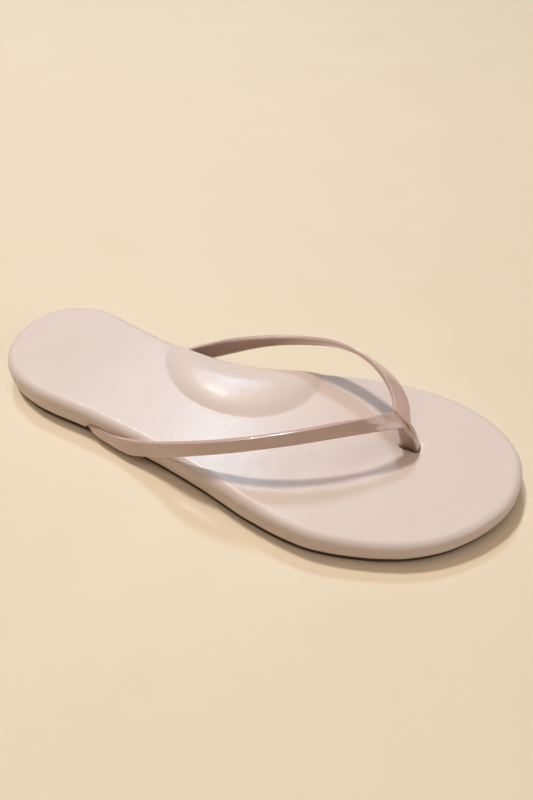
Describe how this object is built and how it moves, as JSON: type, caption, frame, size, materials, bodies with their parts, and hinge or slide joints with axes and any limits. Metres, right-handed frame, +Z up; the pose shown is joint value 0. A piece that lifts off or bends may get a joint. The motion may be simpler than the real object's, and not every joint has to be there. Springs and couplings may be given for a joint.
{
  "type": "flat thong sandal",
  "caption": "Flat slip-on sandal for the right foot: padded wrapped footbed with a moulded arch pad, thin rubber outsole, and narrow glossy straps that meet in a folded V at a flat toe post.",
  "frame": {"origin": "on the floor, under the middle of the sole's length and width", "axes": "+X from heel to toe, +Y to the big toe's side, +Z up"},
  "size_m": [0.2534, 0.0958, 0.0408],
  "materials": {
    "outsole_rubber": "matte dark brown moulded sheet with fine tread",
    "footbed_leather": "satin nude synthetic leather, wrapped and padded",
    "strap_patent": "glossy patent coated strap with a duller lining"
  },
  "bodies": {
    "root": {"outsole": "outsole_rubber", "footbed": "footbed_leather", "strap_upper": "strap_patent"}
  },
  "joints": []
}
